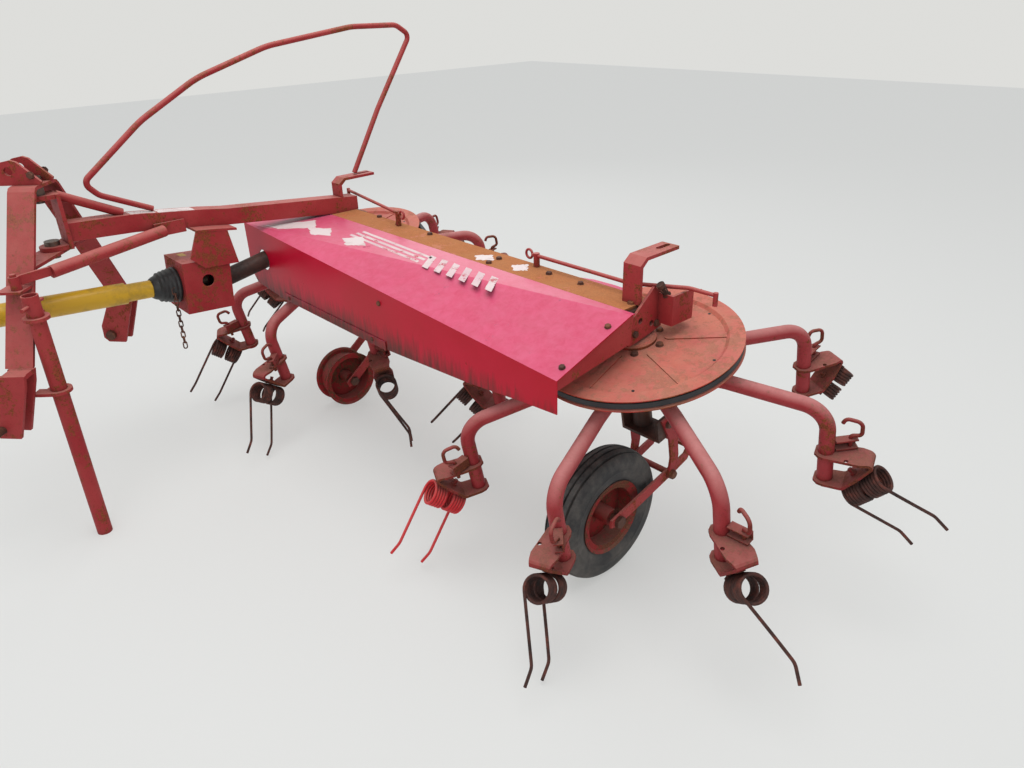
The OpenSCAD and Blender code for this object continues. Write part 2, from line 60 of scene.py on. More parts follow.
camera_data = bpy.data.cameras.new("camera")
camera_data.lens = LENS
camera_data.sensor_width = SENSOR
camera = bpy.data.objects.new("camera", camera_data)
bpy.context.scene.collection.objects.link(camera)
heading, tilt_down, roll = (math.radians(a) for a in (HEADING, TILT_DOWN, ROLL))
ahead = Vector((math.sin(heading) * math.cos(tilt_down),
                math.cos(heading) * math.cos(tilt_down),
                -math.sin(tilt_down)))
level = Vector((math.cos(heading), -math.sin(heading), 0.0))
above = level.cross(ahead)
right = level * math.cos(roll) - above * math.sin(roll)
top = level * math.sin(roll) + above * math.cos(roll)
camera.matrix_world = Matrix.Translation(EYE) @ Matrix((right, top, -ahead)).transposed().to_4x4()
bpy.context.scene.camera = camera
bpy.context.scene.view_settings.view_transform = "Standard"
print("camera at", tuple(round(v, 3) for v in camera.location))

# %% [markdown]
# A few helpers serve every material and every piece. Colours are written as the hex
# values that a screen shows and are turned to the linear values that light needs. One
# function adds a node and wires it up, so a material reads as a list of its layers.

# %% helpers for colours, nodes and objects
def linear(code):
    """sRGB hex to linear RGBA."""
    values = [int(code[i:i + 2], 16) / 255 for i in (1, 3, 5)]
    return tuple(v / 12.92 if v <= 0.04045 else ((v + 0.055) / 1.055) ** 2.4 for v in values) + (1.0,)


def add(tree, kind, inputs=None, **settings):
    """One node with its settings; an input gets a number, a colour or another node's socket."""
    node = tree.nodes.new(kind)
    for name, value in settings.items():
        setattr(node, name, value)
    for name, value in (inputs or {}).items():
        socket = node.inputs[name]
        if isinstance(value, bpy.types.NodeSocket):
            tree.links.new(value, socket)
        else:
            socket.default_value = value
    return node


def new_material(name):
    material = bpy.data.materials.new(name)
    material.use_nodes = True
    tree = material.node_tree
    tree.nodes.clear()
    out = add(tree, "ShaderNodeOutputMaterial")
    return material, tree, out


def new_object(name, mesh):
    piece = bpy.data.objects.new(name, mesh)
    bpy.context.scene.collection.objects.link(piece)
    return piece


print("helpers ready")

# %% [markdown]
# The floor and the world are lifted to a pale grey only for the camera and for
# reflections. As a light the world stays mild, or the paint would look washed out.

# %% floor and world
PALE, COOL = "#E6E6E3", "#E3E7EC"
FLOOR_HALF = 14.0


def seen_directly(tree):
    """1 for rays from the camera and for mirrored or refracted ones, 0 for light."""
    rays = add(tree, "ShaderNodeLightPath").outputs
    first = add(tree, "ShaderNodeMath", {0: rays["Is Camera Ray"], 1: rays["Is Glossy Ray"]},
                operation="MAXIMUM")
    either = add(tree, "ShaderNodeMath", {0: first.outputs[0], 1: rays["Is Transmission Ray"]},
                 operation="MAXIMUM")
    return either.outputs[0]


corners = [(-FLOOR_HALF, -FLOOR_HALF, 0), (FLOOR_HALF, -FLOOR_HALF, 0),
           (FLOOR_HALF, FLOOR_HALF, 0), (-FLOOR_HALF, FLOOR_HALF, 0)]
floor_mesh = bpy.data.meshes.new("floor")
floor_mesh.from_pydata(corners, [], [(0, 1, 2, 3)])
floor = new_object("floor", floor_mesh)
floor_material, tree, out = new_material("pale studio floor")
shade = add(tree, "ShaderNodeBsdfPrincipled", {"Base Color": linear(PALE), "Roughness": 0.9})
lifted = add(tree, "ShaderNodeEmission", {"Color": linear(PALE), "Strength": 0.9})
share = add(tree, "ShaderNodeMath", {0: seen_directly(tree), 1: 0.55}, operation="MULTIPLY")
both = add(tree, "ShaderNodeMixShader", {0: share.outputs[0], 1: shade.outputs[0], 2: lifted.outputs[0]})
tree.links.new(both.outputs[0], out.inputs[0])
floor_mesh.materials.append(floor_material)

world = bpy.data.worlds.new("soft studio")
bpy.context.scene.world = world
world.use_nodes = True
tree = world.node_tree
tree.nodes.clear()
dim = add(tree, "ShaderNodeBackground", {"Color": linear(COOL), "Strength": 0.85})
bright = add(tree, "ShaderNodeBackground", {"Color": linear(PALE), "Strength": 0.92})
both = add(tree, "ShaderNodeMixShader", {0: seen_directly(tree), 1: dim.outputs[0], 2: bright.outputs[0]})
add(tree, "ShaderNodeOutputWorld", {0: both.outputs[0]})
print("floor and world ready")

# %% [markdown]
# An overcast day has no hard shadows. One large lamp overhead stands in for the sky, a
# smaller one in front and a fill from behind keep the dark sides readable.

# %% lamps
def lamp(name, place, target, diameter, watts):
    data = bpy.data.lights.new(name, "AREA")
    data.shape = "DISK"
    data.size = diameter
    data.energy = watts
    light = bpy.data.objects.new(name, data)
    bpy.context.scene.collection.objects.link(light)
    light.location = place
    light.rotation_euler = (Vector(target) - Vector(place)).to_track_quat("-Z", "Y").to_euler()


lamp("overhead", (0.4, -0.4, 4.6), (0, 0, 0.4), 3.6, 95)
lamp("front", (3.6, -3.4, 2.6), (0, 0, 0.5), 2.2, 26)
lamp("back", (-3.4, 3.0, 3.0), (0, 0, 0.5), 2.6, 24)
print("lamps ready")

# %% [markdown]
# Painted steel that has stood outdoors for decades. Sprayed enamel starts glossy; sun
# bleaches it in large soft patches, and rust breaks through in spots. Each of these is a
# noise pattern of the right size in object space, so the wear runs on across pieces and
# keeps still in every view. First the two layers that the whole finish stands on.

# %% paint and the rust in it
MIX_A, MIX_B, MIXED = 6, 7, 2  # the Mix node's two colour inputs and its colour output
RUST_GRAINS = 260.0  # in a metre: crumbs of about 4 mm, coarser than real ones so that they show


def faded_paint(tree, where, fresh, faded, fade_size):
    """The fresh colour, and large soft patches of it that have faded."""
    patch = add(tree, "ShaderNodeTexNoise",
                {"Vector": where, "Scale": 1.0 / fade_size, "Detail": 5.0, "Roughness": 0.6})
    mask = add(tree, "ShaderNodeMapRange", {"Value": patch.outputs[0], "From Min": 0.36, "From Max": 0.66})
    paint = add(tree, "ShaderNodeMix", {0: mask.outputs[0], MIX_A: linear(fresh), MIX_B: linear(faded)},
                data_type="RGBA")
    return paint.outputs[MIXED], patch.outputs[0]


def rust_through(tree, where, paint, dark, light, rust_share, spot_size):
    """Rust spots: a coarse field says where they lie, a fine one breaks up their edges."""
    coarse = add(tree, "ShaderNodeTexNoise",
                 {"Vector": where, "Scale": 0.22 / spot_size, "Detail": 3.0, "Roughness": 0.6})
    fine = add(tree, "ShaderNodeTexNoise", {
        "Vector": where, "Scale": 1.6 / spot_size, "Detail": 8.0, "Roughness": 0.72, "Distortion": 0.4})
    blend = add(tree, "ShaderNodeMath", {0: coarse.outputs[0], 1: 0.9, 2: fine.outputs[0]},
                operation="MULTIPLY_ADD")
    edge = 1.30 - 0.72 * rust_share
    mask = add(tree, "ShaderNodeMapRange",
               {"Value": blend.outputs[0], "From Min": edge - 0.03, "From Max": edge + 0.05})
    grain = add(tree, "ShaderNodeTexNoise",
                {"Vector": where, "Scale": RUST_GRAINS, "Detail": 6.0, "Roughness": 0.7})
    crumbs = add(tree, "ShaderNodeMapRange", {"Value": grain.outputs[0], "From Min": 0.35, "From Max": 0.68})
    rust = add(tree, "ShaderNodeMix", {0: crumbs.outputs[0], MIX_A: linear(dark), MIX_B: linear(light)},
               data_type="RGBA")
    coat = add(tree, "ShaderNodeMix", {0: mask.outputs[0], MIX_A: paint, MIX_B: rust.outputs[MIXED]},
               data_type="RGBA")
    return coat.outputs[MIXED], mask.outputs[0], grain.outputs[0]


print("paint and rust layers ready")

# %% [markdown]
# Painted shade darkens corners and creases: the ambient occlusion node finds them, and a dark brown goes in
# there.
# Small dark specks of dirt lie all over. What looks up is made paler and dustier: real sun bleaching
# and dust, and on the crimson hood a painted sky reflection, so these follow the surface's own direction.

# %% painted crease shade, specks, sun, dust and painted sheen
# the dark brown of the painted shade in creases, and of the dirt specks
SHADE_AND_DIRT = "#33201A"
SPECKS = 190.0  # in a metre: dark specks of about 5 mm
MOTTLES = 34.0  # blotches of about 30 mm in the sun bleaching and the painted sheen on top
DRIFTS = 14.0  # patches of dust, and on the hood of painted sheen, of about 70 mm


def crease_shade_and_specks(tree, where, coat, speckle):
    # painted shade: the ambient occlusion node darkens corners and creases towards the dark brown
    corner = add(tree, "ShaderNodeAmbientOcclusion", {"Distance": 0.035}, samples=4)
    crease_shade = add(tree, "ShaderNodeMapRange", {"Value": corner.outputs["AO"], "From Min": 0.15,
                                              "From Max": 0.85, "To Min": 0.75, "To Max": 0.0})
    specks = add(tree, "ShaderNodeTexNoise",
                 {"Vector": where, "Scale": SPECKS, "Detail": 4.0, "Roughness": 0.8})
    mask = add(tree, "ShaderNodeMapRange",
               {"Value": specks.outputs[0], "From Min": 0.56, "From Max": 0.66, "To Max": speckle})
    dark = add(tree, "ShaderNodeMath", {0: crease_shade.outputs[0], 1: mask.outputs[0]}, operation="MAXIMUM")
    dirty = add(tree, "ShaderNodeMix", {0: dark.outputs[0], MIX_A: coat, MIX_B: linear(SHADE_AND_DIRT)},
                data_type="RGBA")
    return dirty.outputs[MIXED]


def sun_dust_and_sheen(tree, where, coat, bleach_and_sheen, dust_and_sheen, dust_and_sheen_colour):
    """The pale colour for what looks up and its share: sun bleaching, and on the hood a painted sky
    reflection; then the share of dust, with painted sheen on the hood.
    """
    pale, pale_share = bleach_and_sheen
    facing = add(tree, "ShaderNodeSeparateXYZ", {0: add(tree, "ShaderNodeNewGeometry").outputs["Normal"]})
    flat_up = add(tree, "ShaderNodeMapRange", {"Value": facing.outputs[2], "From Min": 0.1, "From Max": 0.95})
    mottle = add(tree, "ShaderNodeTexNoise",
                 {"Vector": where, "Scale": MOTTLES, "Detail": 9.0, "Roughness": 0.72, "Distortion": 0.6})
    uneven = add(tree, "ShaderNodeMapRange", {"Value": mottle.outputs[0], "From Min": 0.34, "From Max": 0.62,
                                              "To Min": 0.72, "To Max": 1.0})
    # painted highlight: what looks up is mixed towards a pale colour, real sun bleaching and, on the hood,
    # painted sky reflection
    exposed = add(tree, "ShaderNodeMath", {0: flat_up.outputs[0], 1: uneven.outputs[0]}, operation="MULTIPLY")
    bleach_and_sheen_share = add(tree, "ShaderNodeMath", {0: exposed.outputs[0], 1: pale_share}, operation="MULTIPLY")
    coat = add(tree, "ShaderNodeMix", {0: bleach_and_sheen_share.outputs[0], MIX_A: coat, MIX_B: linear(pale)},
               data_type="RGBA")
    drift = add(tree, "ShaderNodeTexNoise",
                {"Vector": where, "Scale": DRIFTS, "Detail": 7.0, "Roughness": 0.65})
    heaps = add(tree, "ShaderNodeMapRange", {"Value": drift.outputs[0], "From Min": 0.42, "From Max": 0.72})
    dust_and_sheen_mask = add(tree, "ShaderNodeMath", {0: flat_up.outputs[0], 1: heaps.outputs[0]}, operation="MULTIPLY")
    thin = add(tree, "ShaderNodeMath", {0: dust_and_sheen_mask.outputs[0], 1: dust_and_sheen}, operation="MULTIPLY")
    with_dust_and_sheen = add(tree, "ShaderNodeMix",
                {0: thin.outputs[0], MIX_A: coat.outputs[MIXED], MIX_B: linear(dust_and_sheen_colour)},
                data_type="RGBA")
    return with_dust_and_sheen.outputs[MIXED]


print("dirt, sun and dust layers ready")

# %% [markdown]
# On the hood's front face, algae and splashed soil creep up from the lower edge in
# streaks that rain has drawn. A noise squeezed along z gives the streaks, and the height
# above the ground says how far they reach. Then all the layers go into one finish.

# %% weathered enamel
STREAKS = 60.0  # in a metre: rain streaks of about 17 mm
STREAK_SQUEEZE = 0.12  # the pattern is drawn out to eight times its width downwards


def creeping_grime(tree, where, colour, clean_height, dirty_height, grime_colour):
    height = add(tree, "ShaderNodeSeparateXYZ", {0: where}).outputs[2]
    drawn = add(tree, "ShaderNodeMapping", {"Vector": where, "Scale": (1.0, 1.0, STREAK_SQUEEZE)})
    streaks = add(tree, "ShaderNodeTexNoise",
                  {"Vector": drawn.outputs[0], "Scale": STREAKS, "Detail": 5.0, "Roughness": 0.7})
    fall = add(tree, "ShaderNodeMapRange",
               {"Value": height, "From Min": clean_height, "From Max": dirty_height, "To Max": 1.15})
    wet = add(tree, "ShaderNodeMath", {0: streaks.outputs[0], 1: 1.6, 2: -0.95}, operation="MULTIPLY_ADD")
    reach = add(tree, "ShaderNodeMath", {0: fall.outputs[0], 1: wet.outputs[0]}, operation="ADD")
    mask = add(tree, "ShaderNodeMapRange",
               {"Value": reach.outputs[0], "From Min": 0.35, "From Max": 1.1, "To Max": 0.85})
    grimy = add(tree, "ShaderNodeMix", {0: mask.outputs[0], MIX_A: colour, MIX_B: linear(grime_colour)},
                data_type="RGBA")
    return grimy.outputs[MIXED]


def weathered_enamel(name, fresh, faded, rust_dark, rust_light, rust_share, rough, dust_and_sheen,
                     fade_size=0.35, spot_size=0.03, dust_and_sheen_colour="#8C8068", bleach_and_sheen=("#C08A80", 0.3),
                     grime=None, speckle=0.45):
    """Sizes are in metres; rough is the roughness of sound paint; grime is two heights and a colour."""
    material, tree, out = new_material(name)
    where = add(tree, "ShaderNodeTexCoord").outputs["Object"]
    paint, patch = faded_paint(tree, where, fresh, faded, fade_size)
    coat, rust_mask, grain = rust_through(tree, where, paint, rust_dark, rust_light, rust_share, spot_size)
    coat = crease_shade_and_specks(tree, where, coat, speckle)
    colour = sun_dust_and_sheen(tree, where, coat, bleach_and_sheen, dust_and_sheen, dust_and_sheen_colour)
    if grime:
        colour = creeping_grime(tree, where, colour, *grime)
    matt_rust = add(tree, "ShaderNodeMapRange", {"Value": rust_mask, "To Min": rough, "To Max": 0.88})
    smear = add(tree, "ShaderNodeMath", {0: patch, 1: 0.25, 2: matt_rust.outputs[0]},
                operation="MULTIPLY_ADD")
    relief = add(tree, "ShaderNodeMath", {0: rust_mask, 1: grain}, operation="MULTIPLY")
    bump = add(tree, "ShaderNodeBump", {"Height": relief.outputs[0], "Strength": 0.55, "Distance": 0.0012})
    shade = add(tree, "ShaderNodeBsdfPrincipled", {
        "Base Color": colour, "Roughness": smear.outputs[0], "Normal": bump.outputs[0],
        "IOR": 1.5, "Specular IOR Level": 0.2})
    tree.links.new(shade.outputs[0], out.inputs[0])
    return material


print("enamel recipe ready")

# %% [markdown]
# The same recipe gives every painted piece its own look. What differs is the paint it
# got, how much of it is left, how big the rust spots are, and how pale its top is made by sun bleaching and
# by painted sky reflection.

# %% the enamels
# pressed sheet, sprayed crimson: the pink on top is painted sky reflection, a little shine left, grime on its
# lower edge
hood_enamel = weathered_enamel(
    "crimson sprayed enamel", fresh="#B0001F", faded="#C0062F", rust_dark="#6A1E1C", rust_light="#96332B",
    rust_share=0.10, rough=0.20, dust_and_sheen=0.12, fade_size=0.5, spot_size=0.02, dust_and_sheen_colour="#C7909C",
    bleach_and_sheen=("#F27FA6", 0.46), grime=(0.72, 0.585, "#2A2416"), speckle=0.12)
# thin white paint on the sheet: the crimson shows through its chips
stripe_paint = weathered_enamel(
    "chipped white stripe paint", fresh="#E6DCDA", faded="#DCC4CA", rust_dark="#C0103A", rust_light="#CE3A60",
    rust_share=0.30, rough=0.4, dust_and_sheen=0.2, fade_size=0.1, spot_size=0.01, dust_and_sheen_colour="#B79A94", speckle=0.2)
# brushed red on rolled steel: chalky, with rust wherever water stands
frame_enamel = weathered_enamel(
    "faded red enamel", fresh="#93262A", faded="#A43E3C", rust_dark="#5C2C20", rust_light="#9C5230",
    rust_share=0.36, rough=0.42, dust_and_sheen=0.25, fade_size=0.25, spot_size=0.02, dust_and_sheen_colour="#A07868",
    bleach_and_sheen=("#D08A80", 0.45))
# the flat strip on the cross member: more rust stain than paint
strip_enamel = weathered_enamel(
    "rust-stained strip enamel", fresh="#A83A34", faded="#A8502E", rust_dark="#74402A", rust_light="#B0673A",
    rust_share=0.70, rough=0.42, dust_and_sheen=0.3, fade_size=0.2, spot_size=0.03, dust_and_sheen_colour="#B08058",
    bleach_and_sheen=("#D8925E", 0.40))
# pressed discs: years of work have rubbed the paint thin, and it turned salmon
disc_enamel = weathered_enamel(
    "rubbed disc enamel", fresh="#A8322C", faded="#B54C32", rust_dark="#6A3526", rust_light="#A35A34",
    rust_share=0.46, rough=0.45, dust_and_sheen=0.3, fade_size=0.14, spot_size=0.035, dust_and_sheen_colour="#B08468",
    bleach_and_sheen=("#E29A8A", 0.42))
# bent tubes: smooth and sound paint, pale along their upper side
arm_enamel = weathered_enamel(
    "arm enamel", fresh="#942A2E", faded="#A43E40", rust_dark="#5A2A1E", rust_light="#96502F",
    rust_share=0.30, rough=0.4, dust_and_sheen=0.15, fade_size=0.2, spot_size=0.015, dust_and_sheen_colour="#A07868",
    bleach_and_sheen=("#D8A09A", 0.5))
# forged holders: darker, half of the paint is gone
holder_enamel = weathered_enamel(
    "holder enamel", fresh="#7A2022", faded="#8A302C", rust_dark="#45251C", rust_light="#84442C",
    rust_share=0.50, rough=0.5, dust_and_sheen=0.2, fade_size=0.15, spot_size=0.012, dust_and_sheen_colour="#A07868",
    bleach_and_sheen=("#C08076", 0.38))
# wheel rims: dull and muddy
rim_enamel = weathered_enamel(
    "muddy rim enamel", fresh="#8E1E22", faded="#7E2A24", rust_dark="#4A2A20", rust_light="#7A4C36",
    rust_share=0.50, rough=0.6, dust_and_sheen=0.4, fade_size=0.12, spot_size=0.03, dust_and_sheen_colour="#7A6450")
# the one replaced tine: still bright
new_red = weathered_enamel(
    "new red tine lacquer", fresh="#C01A24", faded="#C82B30", rust_dark="#5A2A20", rust_light="#8A4630",
    rust_share=0.1, rough=0.3, dust_and_sheen=0.05)
print("enamels made")

# %% [markdown]
# Bare iron: spring steel tines, pins and rods that lost their paint long ago. The rust
# is a thin dark brown skin with lighter bloom, and it has a fine pitted relief.

# %% rusted iron
def rusted_iron(name, dark, middle, bloom, cloud_size=0.012, metal=0.25, rough=0.7):
    material, tree, out = new_material(name)
    where = add(tree, "ShaderNodeTexCoord").outputs["Object"]
    cloud = add(tree, "ShaderNodeTexNoise",
                {"Vector": where, "Scale": 0.4 / cloud_size, "Detail": 6.0, "Roughness": 0.65})
    pits = add(tree, "ShaderNodeTexNoise",
               {"Vector": where, "Scale": 4.0 / cloud_size, "Detail": 6.0, "Roughness": 0.75})
    steps = add(tree, "ShaderNodeValToRGB", {0: cloud.outputs[0]})
    ramp = steps.color_ramp.elements
    ramp[0].position, ramp[0].color = 0.34, linear(dark)
    ramp[1].position, ramp[1].color = 0.72, linear(bloom)
    ramp.new(0.55).color = linear(middle)
    roughness = add(tree, "ShaderNodeMapRange", {"Value": pits.outputs[0], "From Min": 0.3, "From Max": 0.7,
                                                 "To Min": rough - 0.15, "To Max": rough + 0.15})
    bump = add(tree, "ShaderNodeBump", {"Height": pits.outputs[0], "Strength": 0.4, "Distance": 0.0006})
    shade = add(tree, "ShaderNodeBsdfPrincipled", {
        "Base Color": steps.outputs[0], "Roughness": roughness.outputs[0], "Metallic": metal,
        "Normal": bump.outputs[0]})
    tree.links.new(shade.outputs[0], out.inputs[0])
    return material


# cold-drawn wire under a dark, even rust
spring_rust = rusted_iron("rusted spring steel", "#2A1A17", "#4E2A22", "#7A3A2C")
# turned pins and bolts: lighter rust in larger clouds
pin_rust = rusted_iron("rusted pin steel", "#3A2620", "#5E3A2C", "#86502F", 0.02)
# steel that rubs in use keeps a grey shine
worn_steel = rusted_iron("worn bare steel", "#4B4641", "#6E655C", "#7C5A44", 0.015, 0.7, 0.45)
# castings under old grease: almost black, with a dull gleam
cast_rust = rusted_iron("greasy cast iron", "#2B211D", "#4A3027", "#6A3F2C", 0.04, 0.2, 0.6)
print("irons made")

# %% [markdown]
# Rubber and plastics. Tyre and belt rubber are nearly black and go grey with dust; the
# shaft guard is yellow moulded plastic, bleached and scuffed.

# %% rubber and plastic
DUST_CLOUD = 0.05
SKIN_DEPTH = 0.0004
SKIN_GRAINS = 420.0  # in a metre: the moulded skin's grain of about 2 mm, coarse enough to show


def dusty_polymer(name, clean, dirty, dirt_share, rough):
    material, tree, out = new_material(name)
    where = add(tree, "ShaderNodeTexCoord").outputs["Object"]
    cloud = add(tree, "ShaderNodeTexNoise",
                {"Vector": where, "Scale": 0.5 / DUST_CLOUD, "Detail": 8.0, "Roughness": 0.68})
    mask = add(tree, "ShaderNodeMapRange", {"Value": cloud.outputs[0], "From Min": 0.75 - 0.5 * dirt_share,
                                            "From Max": 1.0 - 0.4 * dirt_share})
    colour = add(tree, "ShaderNodeMix", {0: mask.outputs[0], MIX_A: linear(clean), MIX_B: linear(dirty)},
                 data_type="RGBA")
    skin = add(tree, "ShaderNodeTexNoise", {"Vector": where, "Scale": SKIN_GRAINS, "Detail": 3.0})
    bump = add(tree, "ShaderNodeBump", {"Height": skin.outputs[0], "Strength": 0.35, "Distance": SKIN_DEPTH})
    roughness = add(tree, "ShaderNodeMapRange",
                    {"Value": mask.outputs[0], "To Min": rough, "To Max": min(0.95, rough + 0.25)})
    shade = add(tree, "ShaderNodeBsdfPrincipled", {
        "Base Color": colour.outputs[MIXED], "Roughness": roughness.outputs[0],
        "Normal": bump.outputs[0], "IOR": 1.5})
    tree.links.new(shade.outputs[0], out.inputs[0])
    return material


tyre_rubber = dusty_polymer("tyre rubber", "#262526", "#645E58", 0.6, 0.6)
belt_rubber = dusty_polymer("belt rubber", "#232326", "#3E3C3A", 0.5, 0.55)
yellow_guard = dusty_polymer("yellow moulded guard", "#C89C12", "#6E5E2C", 0.55, 0.4)
black_guard = dusty_polymer("black moulded plastic", "#1B1C1D", "#4A4640", 0.4, 0.45)
sticker_vinyl = dusty_polymer("bleached sticker vinyl", "#DCCBC8", "#A98A84", 0.5, 0.5)
print("polymers made")

# %% [markdown]
# Each solid that already has the right shape keeps it and only gets its finish. What the
# table doesn't name is frame steel in faded red enamel.

# %% finishes for the solids
finish = {
    "cross_member": strip_enamel,
    "hood": hood_enamel, "hood_lower_panel": hood_enamel, "rear_cover": hood_enamel,
    "rim_near": rim_enamel, "rim_far": rim_enamel,
    "disc_near": disc_enamel, "disc_far": disc_enamel,
    "arms_near": arm_enamel, "arms_far": arm_enamel,
    "holders_near": holder_enamel, "holders_far": holder_enamel,
    "tines_near": spring_rust, "tines_far": spring_rust, "tine_new": new_red,
    "hitch_pins": pin_rust, "wheel_axles": pin_rust, "guard_chain": pin_rust,
    "swivel_pins": worn_steel, "pto_shaft": worn_steel,
    "gearbox": cast_rust, "bearing_housing": cast_rust, "columns": cast_rust,
    "belt": belt_rubber, "tyre_near": tyre_rubber, "pto_guard": yellow_guard,
}
for name, piece in nodes.items():
    chosen = finish.get(name, frame_enamel)
    if len(piece.data.materials) == 0:
        piece.data.materials.append(chosen)
    for i in range(len(piece.data.materials)):
        piece.data.materials[i] = chosen
print("finished", len(nodes), "solids")

# %% [markdown]
# Everything that is added later belongs to one of the moving bodies. Each body has its
# own frame: the rotor's axis leans forward by 11.2 degrees, a tine holder is turned by 3
# degrees from the radius, the headstock stands askew on its swivel pin, and the drive
# shaft rises by 4 degrees towards its front end.

# %% frames of the bodies
ROTOR_X, DISC_Z, LEAN = 0.77, 0.717, 11.2
ARM_COUNT, FIRST_ARM, ARM_REACH, HOLDER_TURN = 8, 15.4, 0.537, 3
COIL_OUT, COIL_DOWN, WEB_SLOPE = 0.0858, 0.3888, 45
HEAD_Y, HEAD_YAW, HEAD_AHEAD = -1.082, -41.7, 0.085
DRIVE_Y, DRIVE_Z, DRIVE_RISE = -0.722, 0.694, 4


def move(x, y, z):
    return Matrix.Translation((x, y, z))


def turn(axis, degrees):
    return Matrix.Rotation(degrees * DEG, 4, axis)


def rotor_frame(side):
    return move(side * ROTOR_X, SHIFT_Y, DISC_Z) @ turn("X", LEAN)


def arm_frame(side, index):
    """Frame at the straight end of an arm: x points outwards along the holder, z along the arm."""
    around = FIRST_ARM + 360 / ARM_COUNT * index
    return rotor_frame(side) @ turn("Z", around) @ move(ARM_REACH, 0, 0) @ turn("Z", HOLDER_TURN)


def coil_frame(side, index):
    """Frame on the coils of a tine: x runs along their axis, z up to the holder's sloping web."""
    return arm_frame(side, index) @ move(COIL_OUT, 0, -COIL_DOWN) @ turn("Y", -WEB_SLOPE)


machine_frame = move(0, SHIFT_Y, 0)
head_frame = move(-ROTOR_X, HEAD_Y + SHIFT_Y, 0) @ turn("Z", HEAD_YAW) @ move(0, -HEAD_AHEAD, 0)
drive_frame = move(-ROTOR_X, DRIVE_Y + SHIFT_Y, DRIVE_Z) @ turn("X", -DRIVE_RISE)
print("arm end 0 of the near rotor at", tuple(round(v, 3) for v in arm_frame(1, 0).translation))

# %% [markdown]
# A bent wire is one line of points with a round section carried along it. Geometry Nodes
# does the carrying: mesh edges become a curve, a small circle is swept along it, both
# ends are capped. One tree serves every wire on the machine, from the springs to the
# chain; the radius and the number of sides are its inputs.

# %% the wire tree
def geometry_tree(name, extra_inputs):
    tree = bpy.data.node_groups.new(name, "GeometryNodeTree")
    tree.interface.new_socket("Geometry", in_out="INPUT", socket_type="NodeSocketGeometry")
    for label, kind in extra_inputs:
        tree.interface.new_socket(label, in_out="INPUT", socket_type=kind)
    tree.interface.new_socket("Geometry", in_out="OUTPUT", socket_type="NodeSocketGeometry")
    return tree, add(tree, "NodeGroupInput").outputs, add(tree, "NodeGroupOutput").inputs


wire_tree, given, result = geometry_tree("swept wire", [
    ("Radius", "NodeSocketFloat"), ("Sides", "NodeSocketInt"), ("Material", "NodeSocketMaterial")])
line = add(wire_tree, "GeometryNodeMeshToCurve", {"Mesh": given["Geometry"]})
ring = add(wire_tree, "GeometryNodeCurvePrimitiveCircle",
           {"Resolution": given["Sides"], "Radius": given["Radius"]})
tube = add(wire_tree, "GeometryNodeCurveToMesh",
           {"Curve": line.outputs["Curve"], "Profile Curve": ring.outputs["Curve"], "Fill Caps": True})
real = add(wire_tree, "GeometryNodeRealizeInstances", {"Geometry": tube.outputs["Mesh"]})
coated = add(wire_tree, "GeometryNodeSetMaterial",
             {"Geometry": real.outputs["Geometry"], "Material": given["Material"]})
wire_tree.links.new(coated.outputs["Geometry"], result["Geometry"])
print("wire tree ready")

# %% [markdown]
# A tree runs as a modifier on a seed object. The export wants plain meshes, so the
# result is taken from the evaluated seed and the modifier is removed. Round wire is
# shaded smooth, but its cut ends and every other sharp edge stay hard.

# %% growing a mesh from a tree
WIRE_ANGLE = 35


def grown(name, source_mesh, tree, values):
    """Runs a node tree on a mesh and hands back a plain object with the mesh it made."""
    seed = new_object(name + " seed", source_mesh)
    modifier = seed.modifiers.new("grow", "NODES")
    modifier.node_group = tree
    sockets = {item.name: item.identifier for item in tree.interface.items_tree if item.in_out == "INPUT"}
    for label, value in values.items():
        modifier[sockets[label]] = value
    graph = bpy.context.evaluated_depsgraph_get()
    graph.update()
    mesh = bpy.data.meshes.new_from_object(seed.evaluated_get(graph), depsgraph=graph)
    mesh.name = name
    seed.modifiers.remove(modifier)
    bpy.data.objects.remove(seed)
    return new_object(name, mesh)


def smooth(piece, angle):
    """Rounds the shading, and keeps edges sharper than the angle hard."""
    mesh = bmesh.new()
    mesh.from_mesh(piece.data)
    bmesh.ops.recalc_face_normals(mesh, faces=mesh.faces)
    for face in mesh.faces:
        face.smooth = True
    for edge in mesh.edges:
        edge.smooth = len(edge.link_faces) == 2 and edge.calc_face_angle(0) < angle * DEG
    mesh.to_mesh(piece.data)
    mesh.free()


def wires(name, lines, radius, material, sides=10, closed=False):
    """Sweeps a wire along each list of points, all in metres in the scene's frame."""
    points, edges = [], []
    for path in lines:
        edges += [(len(points) + i, len(points) + i + 1) for i in range(len(path) - 1)]
        if closed:
            edges.append((len(points) + len(path) - 1, len(points)))
        points += [tuple(q) for q in path]
    mesh = bpy.data.meshes.new(name)
    mesh.from_pydata(points, edges, [])
    piece = grown(name, mesh, wire_tree, {"Radius": radius, "Sides": sides, "Material": material})
    smooth(piece, WIRE_ANGLE)
    return piece


print("wires can be grown")

# %% [markdown]
# Now the spring tines. Each is one length of spring steel: the clip on the holder's web
# holds its middle, a coil winds outwards on either side, and the two legs end in a
# slight kink. A true helix shows the turns as the photo does. No two tines of an old
# machine are bent alike, so each leg gets its own small turn and length. On the near
# rotor one tine has lost both legs and another has lost one.

# %% the wire of a tine
WIRE_R, COIL_R, COIL_TURNS = 0.0045, 0.035, 5.306
CLIP_X = 0.0351  # middle of the clip along the coils' axis
COIL_START, COIL_END = 0.0065, 0.05475  # from the middle of the clip
LEG_TURN, KINK = 20, 28
STRAIGHT, KINK_LENGTH, TIP_LENGTH = 0.175, 0.020, 0.045
STEPS_A_TURN, STRAIGHT_STEPS, KINK_STEPS, BROKEN_STEPS = 26, 5, 4, 5
MOST_BEND, LEAST_WEAR, MOST_WEAR = 2.0, 0.003, 0.009
chance = random.Random(11)


